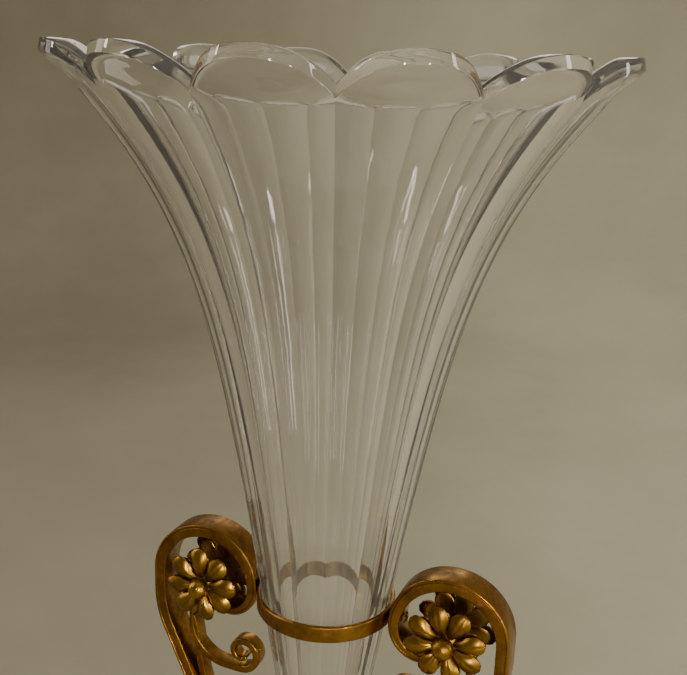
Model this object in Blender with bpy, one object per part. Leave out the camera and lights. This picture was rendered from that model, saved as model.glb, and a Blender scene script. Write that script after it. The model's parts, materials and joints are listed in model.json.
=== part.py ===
"""Cut crystal trumpet vase in a gilt-bronze mount.

A fourteen-flute crystal trumpet stands in a small turned socket and is steadied
by a collar ring. Two flat scroll brackets carry the ring and stand on a round
stepped base. Each bracket's top scroll holds a flower on either face, and a
narrower branch with a curl springs from its inner side.

Metres, +Z up. The origin is at the middle of the base, on the table; +X runs
through the right-hand bracket.
"""

import math

import bmesh
import bpy
from mathutils import Vector

MM = 0.001
GAP = 0.3 * MM                      # clearance between pieces that touch

# crystal trumpet
HEIGHT = 400 * MM                   # table to the scallop tips
FLUTES = 14
FLUTE_TURN = 7.7                    # degrees from +X to the nearest ridge
RIM_RADIUS = 108.4 * MM             # to a ridge, at the height of the scallop tips
FLARE_RADIUS = 62.5 * MM            # where the cone below would reach at that height
FLARE_DEPTH = 50.4 * MM
FLARE_POWER = 1.2
NOTCH_DEPTH = 10.2 * MM             # V between two scallops
SCALLOP_POWER = 2.4                 # 2 is a round arc; more makes a scallop fuller
LIP_LEAN = 0.8 * MM                 # the rim's band leans in by this much
TIP_BULGE = 4.0 * MM                # a scallop's middle swells out at the rim
TIP_BULGE_FADE = 16 * MM
FLUTE_HOLLOW = 0.022                # hollow of a flute, as a share of its chord
FLUTE_FADE = (7 * MM, 15 * MM)      # depth over which the flutes run out to the rim
WALL = 5.0 * MM
RIM_WALL_EXTRA = 3.8 * MM
RIM_WALL_FADE = 30 * MM
GLASS_FOOT_Z = 95 * MM
GLASS_FOOT_RADIUS = 14.3 * MM
GLASS_FLOOR = 14 * MM               # solid glass under the hollow
SCALLOP_FADE = 60 * MM              # depth where the scallops' rise and fall has died out
COLUMNS_PER_FLUTE = 4
LEVELS = 12
LEVEL_CROWDING = 1.8                # levels lie closer together towards the rim

# collar ring and scroll brackets
RING_MID_Z = 174.3 * MM
RING_HEIGHT = 7.0 * MM
RING_WALL = 1.6 * MM
STRAP_WIDTH = 13.0 * MM
STRAP_THICK = 5.5 * MM
STRAP_TIP = 2.6 * MM                # thickness at the strap's two ends
SCROLL_RADIUS = 25.6 * MM           # outside of the top scroll
SCROLL_MID_Z = RING_MID_Z - 1.4 * MM
SCROLL_DROP = 10.0 * MM             # upright length below the top scroll
SHOULDER_RADIUS = 43.5 * MM
STRAP_LEAN = 24.3                   # degrees, strap leaning in towards the stem
ANKLE_RADIUS = 20.0 * MM
TOE_LENGTH = 7.0 * MM
TOE_CURL = 6.0 * MM
EYE_RADIUS = 14.5 * MM              # bend radius where the scroll starts to close
EYE_CURL = 6.0 * MM                 # bend radius at its inner end
STRAP_ENDS = (0.18, 0.10)           # shares of the strap over which its ends thin

# branch with its curl, on the inner side of each bracket
BRANCH_WIDTH = 7.0 * MM
BRANCH_THICK = 3.2 * MM
BRANCH_OUT = 8.7 * MM               # out from the scroll's middle
BRANCH_TOP = 17.0 * MM              # below the scroll's middle
BRANCH_DROP = 8.0 * MM
BRANCH_BEND = 17.5 * MM
BRANCH_RUN = 7.5 * MM
CURL_RADIUS = 8.4 * MM
CURL_END_RADIUS = 2.4 * MM
BRANCH_ENDS = (0.35, 0.30)          # shares of the branch over which its ends thin
ROOT_DROP = 46 * MM                 # the branch's root below the bracket's shoulder
ROOT_MEETS = 0.7                    # share of the root's length where it lies on the strap
ROOT_SLANT = 0.75                   # its slope at first, as a share of the strap's

# flowers
PETALS = 8
FLOWER_RADIUS = 16.5 * MM
FLOWER_DROP = 1.4 * MM              # pin below the scroll's middle
FLOWER_DOME = 3.6 * MM
FLOWER_SHEET = 1.0 * MM
PETAL_WAIST = 0.60                  # outline between two petals, as a share of the radius
PETAL_FULLNESS = 0.7                # less makes a petal broader
PETAL_EDGE_RISE = 0.35              # dome between two petals, as a share of the full dome
PETAL_TURN = {"left": 8.0, "right": 15.0}    # degrees
BUTTON_SEAT = 0.8                   # button's foot, as a share of the flower's dome
PIN_DEPTH = 0.6                     # pin's reach into the button, as a share of its dome
BUTTON_RADIUS = 4.8 * MM
BUTTON_DOME = 3.4 * MM
PIN_RADIUS = 1.8 * MM

# socket, stem and base
BASE_RADIUS = 77 * MM
TREAD_RADIUS = 69 * MM              # top of the base plate
BASE_UNDER_Z = 9.3 * MM
BASE_TOP_Z = 24 * MM
TREAD_THICK = 6 * MM
BASE_RIM_WALL = 17 * MM
BEAD_RADIUS = 2.2 * MM
BEADS = 28
BEAD_WAIST = 0.62                   # thickness between two beads, as a share of a bead's
STEP_RADIUS = TREAD_RADIUS + 1 * MM
STEP_Z = BASE_UNDER_Z + 4.7 * MM    # the step that the bead ring lies on
FOOT_RADIUS = 7.5 * MM
FOOT_PITCH_RADIUS = 67 * MM
STUD_RADIUS = 2.0 * MM
STUD_LENGTH = 5.0 * MM
STEM_FOOT_RADIUS = 23 * MM
STEM_WAIST_RADIUS = 7.5 * MM
STEM_KNOP_RADIUS = 14.5 * MM
STEM_HOLLOW = 0.26                  # heights along the stem, as shares of its length
STEM_BAND = (0.36, 0.39)
STEM_KNOP = (0.42, 0.86)
STEM_COLLAR = (0.90, 0.94)
CUP_UNDER_Z = GLASS_FOOT_Z - 16.7 * MM
CUP_TOP_Z = GLASS_FOOT_Z + 18 * MM
CUP_WALL = 2.2 * MM
SEAT_THICK = 3.0 * MM
ROD_RADIUS = 2.5 * MM
ROD_HEAD_RADIUS = 5.0 * MM
ROD_HEAD_THICK = 2.4 * MM
WASHER_RADIUS = 10.4 * MM
WASHER_THICK = 1.4 * MM
NUT_RADIUS = 5.2 * MM               # across its corners, halved
NUT_THICK = 4.0 * MM
SCREW_RADIUS = 1.6 * MM
SCREW_HEAD_RADIUS = 3.4 * MM
SCREW_HEAD_DOME = 2.0 * MM
RIVET_RADIUS = 1.4 * MM
RIVET_HEAD_RADIUS = 2.8 * MM
RIVET_HEAD_DOME = 1.3 * MM

ROUND = 42                          # sides of large turned pieces
MIDDLING = 24                       # sides of the stem and the seat
SMALL = 12                          # sides of pins and screws
BEND_STEP = 12                      # degrees between stations along a strap


# ---------------------------------------------------------------- tools

def new_material(name, colour, metallic, roughness, transmission=0.0):
    """A Principled BSDF with one colour."""
    made = bpy.data.materials.new(name)
    made.use_nodes = True
    shader = made.node_tree.nodes["Principled BSDF"]
    shader.inputs["Base Color"].default_value = (*colour, 1)
    shader.inputs["Metallic"].default_value = metallic
    shader.inputs["Roughness"].default_value = roughness
    shader.inputs["Transmission Weight"].default_value = transmission
    made.diffuse_color = (*colour, 1)
    return made


def finish_mesh(name, shape, material, smooth_angle=35):
    """Turns a bmesh into a named object with its faces pointing out."""
    bmesh.ops.recalc_face_normals(shape, faces=shape.faces)
    mesh = bpy.data.meshes.new(name)
    shape.to_mesh(mesh)
    shape.free()
    mesh.shade_smooth()
    mesh.set_sharp_from_angle(angle=math.radians(smooth_angle))
    mesh.materials.append(material)
    made = bpy.data.objects.new(name, mesh)
    bpy.context.scene.collection.objects.link(made)
    return made


def turned(name, profile, material, sides=ROUND, closed=False):
    """Spins (radius, z) points about Z. A closed profile makes a ring."""
    shape = bmesh.new()
    points = [shape.verts.new((radius, 0, z)) for radius, z in profile]
    edges = [shape.edges.new(pair) for pair in zip(points, points[1:])]
    if closed:
        edges.append(shape.edges.new((points[-1], points[0])))
    bmesh.ops.spin(shape, geom=points + edges, cent=(0, 0, 0), axis=(0, 0, 1),
                   angle=math.tau, steps=sides, use_merge=True)
    bmesh.ops.remove_doubles(shape, verts=shape.verts, dist=0.00001)
    return finish_mesh(name, shape, material)


def arc(centre, radius, start, end, steps):
    """Points on a circle in a profile plane, from one angle to another, in degrees."""
    angles = [math.radians(start + (end - start) * i / steps) for i in range(steps + 1)]
    return [(centre[0] + radius * math.cos(a), centre[1] + radius * math.sin(a)) for a in angles]


def dome(radius, height, base_z, steps=3):
    """A rounded cap's profile from its rim to the axis."""
    angles = [math.pi / 2 * i / steps for i in range(steps + 1)]
    return [(radius * math.cos(a), base_z + height * math.sin(a)) for a in angles]


def cutter(name, radius, bottom, top, place, axis="Z"):
    """A hidden round bar that bores a hole through other pieces."""
    profile = [(0, bottom), (radius, bottom), (radius, top), (0, top)]
    tool = turned(name, profile, hidden, SMALL)
    tool.hide_render = True
    tool.display_type = "WIRE"
    stand_along(tool, place, axis)
    return tool


def stand_along(thing, place, axis="Z"):
    """Puts a turned piece at a place, its own Z axis along a world axis."""
    quarter = math.pi / 2
    turns = {"Z": (0, 0, 0), "Y": (-quarter, 0, 0), "-Y": (quarter, 0, 0),
             "X": (0, quarter, 0), "-X": (0, -quarter, 0)}
    thing.rotation_euler = turns[axis]
    thing.location = place


def combine(piece, tool, operation):
    """Adds or takes away another shape with an exact Boolean."""
    step = piece.modifiers.new(tool.name, "BOOLEAN")
    step.object = tool
    step.operation = operation
    step.solver = "EXACT"


def follow(start, heading, moves):
    """Walks a bent strap's middle line in the XZ plane.

    A move is (length,) for a straight run or (turn, radius, end radius) for a bend,
    with the turn in degrees, positive anticlockwise. Returns (x, z, heading) stations.
    """
    x, z = start
    angle = math.radians(heading)
    stations = [(x, z, angle)]
    for move in moves:
        if len(move) == 1:
            x += move[0] * math.cos(angle)
            z += move[0] * math.sin(angle)
            stations.append((x, z, angle))
            continue
        turn, radius, end_radius = move
        steps = max(2, round(abs(turn) / BEND_STEP))
        part = math.radians(turn) / steps
        for i in range(steps):
            bend = radius + (end_radius - radius) * (i + 0.5) / steps
            chord = 2 * bend * math.sin(abs(part) / 2)
            x += chord * math.cos(angle + part / 2)
            z += chord * math.sin(angle + part / 2)
            angle += part
            stations.append((x, z, angle))
    return stations


def strap(name, stations, thickness, width, material):
    """A flat bar of rectangular section along stations. thickness(share) tapers it."""
    shape = bmesh.new()
    lengths = [0.0]
    for a, b in zip(stations, stations[1:]):
        lengths.append(lengths[-1] + math.hypot(b[0] - a[0], b[1] - a[1]))
    rings = []
    for (x, z, angle), along in zip(stations, lengths):
        half = thickness(along / lengths[-1]) / 2
        side = Vector((-math.sin(angle), 0, math.cos(angle))) * half
        middle = Vector((x, 0, z))
        across = Vector((0, width / 2, 0))
        corners = (side + across, side - across, -side - across, -side + across)
        rings.append([shape.verts.new(middle + corner) for corner in corners])
    for ring, after in zip(rings, rings[1:]):
        for i in range(4):
            j = (i + 1) % 4
            shape.faces.new((ring[i], ring[j], after[j], after[i]))
    shape.faces.new(rings[0])
    shape.faces.new(rings[-1])
    return finish_mesh(name, shape, material)


def taper(tip, full, start_share, end_share):
    """Thickness of a strap that thins towards its two ends."""
    def thickness(share):
        edge = min(share / start_share, (1 - share) / end_share, 1)
        return tip + (full - tip) * math.sin(edge * math.pi / 2)
    return thickness


# ---------------------------------------------------------------- crystal trumpet

def ridge_radius(depth):
    """Outside radius of the trumpet on a ridge, at a depth below the rim's highest point."""
    slope = (FLARE_RADIUS - GLASS_FOOT_RADIUS) / (HEIGHT - GLASS_FOOT_Z)
    flare = (RIM_RADIUS - FLARE_RADIUS) * math.exp(-((depth / FLARE_DEPTH) ** FLARE_POWER))
    return FLARE_RADIUS - slope * depth + flare


def flute_radius(depth, across):
    """Outside radius at a place across a flute: -1 and 1 are its ridges, 0 its middle."""
    ridge = ridge_radius(depth)
    half = math.pi / FLUTES
    flat = ridge * math.cos(half) / math.cos(half * across)
    hollow = 2 * ridge * math.sin(half) * FLUTE_HOLLOW * (1 - across ** 2)
    low, high = FLUTE_FADE
    share = min(max((depth - low) / (high - low), 0), 1)
    share = share * share * (3 - 2 * share)
    bulge = TIP_BULGE * (1 - across ** 2) * max(0, 1 - depth / TIP_BULGE_FADE)
    return ridge + (flat - hollow - ridge) * share + bulge


def wall(depth):
    """Thickness of the glass, measured level, at a ridge."""
    return WALL + RIM_WALL_EXTRA * math.exp(-depth / RIM_WALL_FADE)


def scallop(across):
    """Depth of the rim below the scallop's tip, from notch (-1) to notch (1)."""
    return NOTCH_DEPTH * abs(across) ** SCALLOP_POWER


def rim_lift():
    """Height of the upright band that edges the rim."""
    step = 1 * MM
    slope = (ridge_radius(0) - ridge_radius(2 * step)) / (2 * step)
    return wall(0) * slope / (1 + slope ** 2)


def make_trumpet():
    lift = rim_lift()
    total = HEIGHT - GLASS_FOOT_Z - lift
    outer_levels = [total * (k / LEVELS) ** LEVEL_CROWDING for k in range(LEVELS + 1)]
    inner_levels = [level for level in outer_levels if level < total - 2 * GLASS_FLOOR]
    inner_levels.append(total - GLASS_FLOOR)
    shape = bmesh.new()
    columns = FLUTES * COLUMNS_PER_FLUTE
    outer, inner = [], []
    for i in range(columns):
        across = 2 * (i % COLUMNS_PER_FLUTE) / COLUMNS_PER_FLUTE - 1
        angle = math.radians(FLUTE_TURN) + math.tau * i / columns
        ray = Vector((math.cos(angle), math.sin(angle), 0))
        edge = scallop(across)
        outer.append([])
        inner.append([])
        for level in outer_levels:
            depth = lift + level + edge * max(0, 1 - level / SCALLOP_FADE)
            point = ray * flute_radius(depth, across)
            outer[-1].append(shape.verts.new((point.x, point.y, HEIGHT - depth)))
        lip = ray * (flute_radius(lift + edge, across) - LIP_LEAN)
        outer[-1].insert(0, shape.verts.new((lip.x, lip.y, HEIGHT - edge)))
        for level in inner_levels:
            fade = max(0, 1 - level / SCALLOP_FADE)
            depth = lift + level + edge * fade
            raised = depth - lift * fade ** 3
            point = ray * (ridge_radius(raised) - wall(raised))
            inner[-1].append(shape.verts.new((point.x, point.y, HEIGHT - raised)))
    for i in range(columns):
        j = (i + 1) % columns
        for wall_side in (outer, inner):
            for k in range(len(wall_side[i]) - 1):
                shape.faces.new((wall_side[i][k], wall_side[j][k],
                                 wall_side[j][k + 1], wall_side[i][k + 1]))
        shape.faces.new((outer[i][0], outer[j][0], inner[j][0], inner[i][0]))
    shape.faces.new([column[-1] for column in outer])
    shape.faces.new([column[-1] for column in inner])
    return finish_mesh("crystal_trumpet", shape, crystal, 25)


# ---------------------------------------------------------------- collar ring and brackets

def ring_sizes():
    """Inner and outer radius of the collar, fitted to the glass it surrounds."""
    depth = HEIGHT - (RING_MID_Z + RING_HEIGHT / 2)
    inner = ridge_radius(depth) + GAP
    return inner, inner + RING_WALL


def scroll_middle():
    """Distance of the top scroll's middle from the vase's axis."""
    return ring_sizes()[1] + GAP + SCROLL_RADIUS


def bracket_stations():
    """Middle line of the strap, from the eye of the top scroll to the toe's curl."""
    bend = SCROLL_RADIUS - STRAP_THICK / 2
    crown = (scroll_middle(), SCROLL_MID_Z + bend)
    inward = follow(crown, 180, [(90, bend, bend), (150, EYE_RADIUS, EYE_CURL)])
    shoulder = follow(crown, 0, [(-90, bend, bend), (SCROLL_DROP,),
                                 (-STRAP_LEAN, SHOULDER_RADIUS, SHOULDER_RADIUS)])
    lean = math.radians(STRAP_LEAN)
    ankle_height = ANKLE_RADIUS * (1 + math.sin(lean))
    ankle_z = BASE_TOP_Z + GAP + STRAP_THICK / 2 + ankle_height
    run = (shoulder[-1][1] - ankle_z) / math.cos(lean)
    below = follow(shoulder[-1][:2], -90 - STRAP_LEAN,
                   [(run,), (90 + STRAP_LEAN, ANKLE_RADIUS, ANKLE_RADIUS), (TOE_LENGTH,),
                    (250, TOE_CURL, TOE_CURL * 0.5)])
    outward = shoulder[1:] + below[1:]
    turned_back = [(x, z, angle - math.pi) for x, z, angle in reversed(inward)]
    return turned_back + outward


def toe_middle():
    """Where the screw goes through the flat of the toe."""
    level = [(x, z) for x, z, angle in bracket_stations()
             if abs(z - BASE_TOP_Z - GAP - STRAP_THICK / 2) < 0.01 * MM]
    return sum(x for x, z in level) / len(level)


def make_bracket(side):
    sign = 1 if side == "right" else -1
    thickness = taper(STRAP_TIP, STRAP_THICK, *STRAP_ENDS)
    piece = strap(f"scroll_bracket_{side}", bracket_stations(), thickness, STRAP_WIDTH, gilt)
    piece.rotation_euler.z = 0 if side == "right" else math.pi
    toe = cutter(f"toe_hole_{side}", SCREW_RADIUS + GAP, BASE_TOP_Z - 1 * MM,
                 BASE_TOP_Z + 2 * STRAP_THICK, (sign * toe_middle(), 0, 0))
    hole = cutter(f"rivet_hole_{side}", RIVET_RADIUS + GAP, 0.0,
                  ring_sizes()[1] + 2 * STRAP_THICK, (0, 0, RING_MID_Z), "X" if sign > 0 else "-X")
    combine(piece, toe, "DIFFERENCE")
    combine(piece, hole, "DIFFERENCE")
    return hole


def make_ring(holes):
    inner, outer = ring_sizes()
    low, high = RING_MID_Z - RING_HEIGHT / 2, RING_MID_Z + RING_HEIGHT / 2
    ease = RING_WALL / 4
    profile = [(inner, low), (outer - ease, low), (outer, low + ease), (outer, high - ease),
               (outer - ease, high), (inner, high)]
    ring = turned("collar_ring", profile, gilt, closed=True)
    for hole in holes:
        combine(ring, hole, "DIFFERENCE")


def make_rivet(side):
    """Joins ring and scroll; its head is domed over inside the scroll."""
    ring_in, ring_out = ring_sizes()
    head = ring_out + GAP + STRAP_THICK + GAP
    profile = [(0, ring_in + 2 * GAP), (RIVET_RADIUS, ring_in + 2 * GAP), (RIVET_RADIUS, head)]
    profile += dome(RIVET_HEAD_RADIUS, RIVET_HEAD_DOME, head)
    rivet = turned(f"ring_rivet_{side}", profile, gilt, SMALL)
    stand_along(rivet, (0, 0, RING_MID_Z), "X" if side == "right" else "-X")


def make_toe_screw(side):
    sign = 1 if side == "right" else -1
    under = BASE_TOP_Z - TREAD_THICK + GAP
    head = BASE_TOP_Z + GAP + STRAP_THICK + GAP
    profile = [(0, under), (SCREW_RADIUS, under), (SCREW_RADIUS, head)]
    profile += dome(SCREW_HEAD_RADIUS, SCREW_HEAD_DOME, head)
    screw = turned(f"bracket_screw_{side}", profile, gilt, SMALL)
    stand_along(screw, (sign * toe_middle(), 0, 0))


def make_branch(side):
    """Narrow branch: hangs from behind the flower and ends in a curl beside the glass."""
    start = (scroll_middle() + BRANCH_OUT, SCROLL_MID_Z - BRANCH_TOP)
    curl = follow(start, -90, [(BRANCH_DROP,), (-88, BRANCH_BEND, BRANCH_BEND), (BRANCH_RUN,),
                               (-420, CURL_RADIUS, CURL_END_RADIUS)])
    thickness = taper(BRANCH_THICK * 0.5, BRANCH_THICK, *BRANCH_ENDS)
    piece = strap(f"inner_curl_{side}", curl, thickness, BRANCH_WIDTH, gilt)
    piece.rotation_euler.z = 0 if side == "right" else math.pi
    tail = make_tail(f"curl_tail_{side}")
    tail.rotation_euler.z = piece.rotation_euler.z
    combine(piece, tail, "UNION")


def make_tail(name):
    """The branch's root: leaves its bend and lies down along the bracket below."""
    lean = math.radians(STRAP_LEAN)
    start = (scroll_middle() + BRANCH_OUT - 0.3 * BRANCH_THICK,
             SCROLL_MID_Z - BRANCH_TOP - 0.6 * BRANCH_DROP)
    strap_side = STRAP_THICK / 2 + GAP + BRANCH_THICK / 2
    shoulder = [s for s in bracket_stations() if abs(s[2] + math.pi / 2 + lean) < 1e-6][0]
    root = Vector((shoulder[0] - ROOT_DROP * math.tan(lean) - strap_side / math.cos(lean), 0,
                   shoulder[1] - ROOT_DROP))
    line = []
    steps = 10
    for i in range(steps + 1):
        t = i / steps
        meet = min(t / ROOT_MEETS, 1)
        ease = meet * meet * (3 - 2 * meet)
        z = start[1] + (root.z - start[1]) * t
        along_strap = root.x + (z - root.z) * math.tan(lean)
        x = start[0] - (start[1] - z) * math.tan(lean) * ROOT_SLANT
        line.append((x + (along_strap - x) * ease, z))
    stations = []
    for i, (x, z) in enumerate(line):
        a, b = line[max(i - 1, 0)], line[min(i + 1, steps)]
        stations.append((x, z, math.atan2(b[1] - a[1], b[0] - a[0])))
    tail = strap(name, stations, taper(BRANCH_THICK * 0.4, BRANCH_THICK, 0.5, 0.5),
                 BRANCH_WIDTH * 0.96, gilt)
    tail.hide_render = True
    tail.display_type = "WIRE"
    return tail


# ---------------------------------------------------------------- flowers

def petal_edge(angle):
    """Radius of the flower's outline: full at a petal's middle, low between petals."""
    swing = abs(math.cos(PETALS * angle / 2))
    return FLOWER_RADIUS * (PETAL_WAIST + (1 - PETAL_WAIST) * swing ** PETAL_FULLNESS)


def flower_mesh():
    """A domed rosette with a hole for its pin, its back face at z = 0."""
    shape = bmesh.new()
    around = PETALS * 4
    shares = (0.0, 0.45, 0.8, 1.0)
    hole = PIN_RADIUS + GAP
    fronts, backs = [], []
    for i in range(around):
        angle = math.tau * i / around
        edge = petal_edge(angle)
        swing = abs(math.cos(PETALS * angle / 2))
        fronts.append([])
        for share in shares:
            radius = hole + (edge - hole) * share
            crown = math.sqrt(max(0, 1 - (2 * share - 1) ** 2))
            rise = FLOWER_DOME * crown * (PETAL_EDGE_RISE + (1 - PETAL_EDGE_RISE) * swing)
            point = (radius * math.cos(angle), radius * math.sin(angle), FLOWER_SHEET + rise)
            fronts[-1].append(shape.verts.new(point))
        backs.append([shape.verts.new((radius * math.cos(angle), radius * math.sin(angle), 0))
                      for radius in (hole, edge)])
    for i in range(around):
        j = (i + 1) % around
        for k in range(len(shares) - 1):
            shape.faces.new((fronts[i][k], fronts[j][k], fronts[j][k + 1], fronts[i][k + 1]))
        shape.faces.new((backs[i][0], backs[i][1], backs[j][1], backs[j][0]))
        shape.faces.new((fronts[i][-1], fronts[j][-1], backs[j][1], backs[i][1]))
        shape.faces.new((fronts[i][0], backs[i][0], backs[j][0], fronts[j][0]))
    return shape


def make_flowers(side):
    sign = 1 if side == "right" else -1
    x, z = sign * scroll_middle(), SCROLL_MID_Z - FLOWER_DROP
    face = STRAP_WIDTH / 2 + GAP
    seat = face + FLOWER_SHEET + 2 * GAP
    for front, axis, way in (("front", "-Y", -1), ("back", "Y", 1)):
        flower = finish_mesh(f"flower_{side}_{front}", flower_mesh(), gilt, 50)
        stand_along(flower, (x, way * face, z), axis)
        flower.rotation_euler.rotate_axis("Z", math.radians(PETAL_TURN[side]))
        bore, depth = PIN_RADIUS + GAP, BUTTON_DOME * PIN_DEPTH
        profile = [(0, depth), (bore, depth), (bore, 0)] + dome(BUTTON_RADIUS, BUTTON_DOME, 0)
        profile = [(r, h + FLOWER_DOME * BUTTON_SEAT) for r, h in profile]
        button = turned(f"flower_button_{side}_{front}", profile, gilt, SMALL)
        stand_along(button, (x, way * seat, z), axis)
    reach = seat + FLOWER_DOME * BUTTON_SEAT + BUTTON_DOME * PIN_DEPTH - GAP
    profile = [(0, -reach), (PIN_RADIUS, -reach), (PIN_RADIUS, reach), (0, reach)]
    pin = turned(f"flower_pin_{side}", profile, gilt, SMALL)
    stand_along(pin, (x, 0, z), "Y")


# ---------------------------------------------------------------- socket, stem and base

def seat_top():
    return GLASS_FOOT_Z - GAP


def cup_floor():
    return seat_top() - SEAT_THICK - GAP


def foot_radius_inside_cup(z):
    """Radius of the glass at a height, plus the clearance round it."""
    return ridge_radius(HEIGHT - z) + 2 * GAP


def make_cup():
    floor, bore, recess = cup_floor(), ROD_RADIUS + GAP, ROD_HEAD_RADIUS + GAP
    ledge = floor - ROD_HEAD_THICK - GAP
    mouth = foot_radius_inside_cup(CUP_TOP_Z)
    foot = foot_radius_inside_cup(GLASS_FOOT_Z)
    lip = mouth + CUP_WALL
    inside = [(bore, CUP_UNDER_Z), (bore, ledge), (recess, ledge), (recess, floor),
              (foot, floor), (foot, GLASS_FOOT_Z), (mouth, CUP_TOP_Z)]
    outside = [(lip, CUP_TOP_Z), (lip + 1.2 * MM, CUP_TOP_Z - 1.6 * MM), (lip, CUP_TOP_Z - 3.6 * MM)]
    outside += [(foot + CUP_WALL + 1.0 * MM, GLASS_FOOT_Z), (foot + 0.6 * CUP_WALL, floor),
                (foot * 0.72, ledge - 1 * MM), (foot * 0.5, CUP_UNDER_Z + 4 * MM),
                (foot * 0.62, CUP_UNDER_Z + 1.5 * MM), (foot * 0.62, CUP_UNDER_Z)]
    return turned("socket_cup", inside + outside, gilt, 2 * FLUTES, closed=True)


def make_seat():
    radius, top = foot_radius_inside_cup(GLASS_FOOT_Z) - GAP, seat_top()
    profile = [(0, top - SEAT_THICK), (radius, top - SEAT_THICK), (radius, top), (0, top)]
    return turned("cup_seat", profile, felt, MIDDLING)


def make_stem():
    low, high = BASE_TOP_Z + GAP, CUP_UNDER_Z - GAP
    bore, foot, waist, knop = ROD_RADIUS + GAP, STEM_FOOT_RADIUS, STEM_WAIST_RADIUS, STEM_KNOP_RADIUS
    rise = high - low
    profile = [(bore, low), (foot, low), (foot, low + 2 * MM), (foot - 2 * MM, low + 4 * MM)]
    profile += [(waist + (foot - 3 * MM - waist) * (1 - t) ** 2.5, low + 4 * MM + STEM_HOLLOW * rise * t)
                for t in (0.15, 0.35, 0.6, 1.0)]
    profile += [(waist + 2.5 * MM, low + share * rise) for share in STEM_BAND]
    knop_low, knop_high = (low + share * rise for share in STEM_KNOP)
    for i in range(7):
        t = i / 6
        swell = math.sin(math.pi * (1 - (1 - t) ** 1.35))
        profile.append((waist + (knop - waist) * swell, knop_low + (knop_high - knop_low) * t))
    profile += [(waist + 2 * MM, low + STEM_COLLAR[0] * rise),
                (waist + 3 * MM, low + STEM_COLLAR[1] * rise),
                (waist + 2 * MM, high), (bore, high)]
    return turned("stem", profile, gilt, MIDDLING, closed=True)


def foot_places():
    return [(FOOT_PITCH_RADIUS * math.cos(a), FOOT_PITCH_RADIUS * math.sin(a))
            for a in (math.radians(45 + 90 * k) for k in range(4))]


def make_base():
    cave = BASE_RADIUS - BASE_RIM_WALL
    under, ceiling = BASE_UNDER_Z, BASE_TOP_Z - TREAD_THICK
    bore = ROD_RADIUS + GAP
    profile = [(bore, ceiling), (cave, ceiling), (cave, under), (BASE_RADIUS - 1 * MM, under),
               (BASE_RADIUS, under + 1 * MM), (BASE_RADIUS, STEP_Z - 1 * MM),
               (BASE_RADIUS - 1 * MM, STEP_Z), (STEP_RADIUS, STEP_Z),
               (STEP_RADIUS - 0.5 * MM, STEP_Z + 3 * MM)]
    profile += arc((TREAD_RADIUS - 3.5 * MM, BASE_TOP_Z - 3.5 * MM), 3.5 * MM, 0, 90, 3)
    profile.append((bore, BASE_TOP_Z))
    plate = turned("base_plate", profile, gilt, ROUND, closed=True)
    for number, (x, y) in enumerate(foot_places(), 1):
        hole = cutter(f"stud_hole_{number}", STUD_RADIUS + GAP, -1 * MM,
                      STUD_LENGTH + GAP, (x, y, under))
        combine(plate, hole, "DIFFERENCE")
    for sign in (-1, 1):
        hole = cutter(f"screw_hole_{sign}", SCREW_RADIUS + GAP, ceiling - 1 * MM,
                      BASE_TOP_Z + 1 * MM, (sign * toe_middle(), 0, 0))
        combine(plate, hole, "DIFFERENCE")


def make_bead_ring():
    """A string of beads lying on the base's step, cast as one ring."""
    shape = bmesh.new()
    around, sides = BEADS * 4, 5
    middle = (STEP_RADIUS + GAP + BEAD_RADIUS, STEP_Z + GAP + BEAD_RADIUS)
    rings = []
    for i in range(around):
        angle = math.tau * i / around
        swell = BEAD_RADIUS * (BEAD_WAIST + (1 - BEAD_WAIST) * abs(math.cos(BEADS * angle / 2)))
        rings.append([])
        for k in range(sides):
            turn = math.tau * (k + 0.5) / sides
            radius, z = middle[0] + swell * math.cos(turn), middle[1] + swell * math.sin(turn)
            rings[-1].append(shape.verts.new((radius * math.cos(angle), radius * math.sin(angle), z)))
    for i in range(around):
        ring, after = rings[i], rings[(i + 1) % around]
        for k in range(sides):
            n = (k + 1) % sides
            shape.faces.new((ring[k], ring[n], after[n], after[k]))
    return finish_mesh("bead_ring", shape, gilt, 60)


def make_feet():
    top, radius = BASE_UNDER_Z - GAP, FOOT_RADIUS
    profile = [(0, 0), (radius * 0.72, 0), (radius * 0.9, top * 0.14), (radius, top * 0.38),
               (radius * 0.93, top * 0.62), (radius * 0.72, top * 0.8), (radius * 0.8, top * 0.86),
               (radius * 0.8, top), (STUD_RADIUS, top), (STUD_RADIUS, top + STUD_LENGTH),
               (0, top + STUD_LENGTH)]
    for number, (x, y) in enumerate(foot_places(), 1):
        foot = turned(f"foot_{number}", profile, gilt, SMALL)
        stand_along(foot, (x, y, 0))


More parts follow.
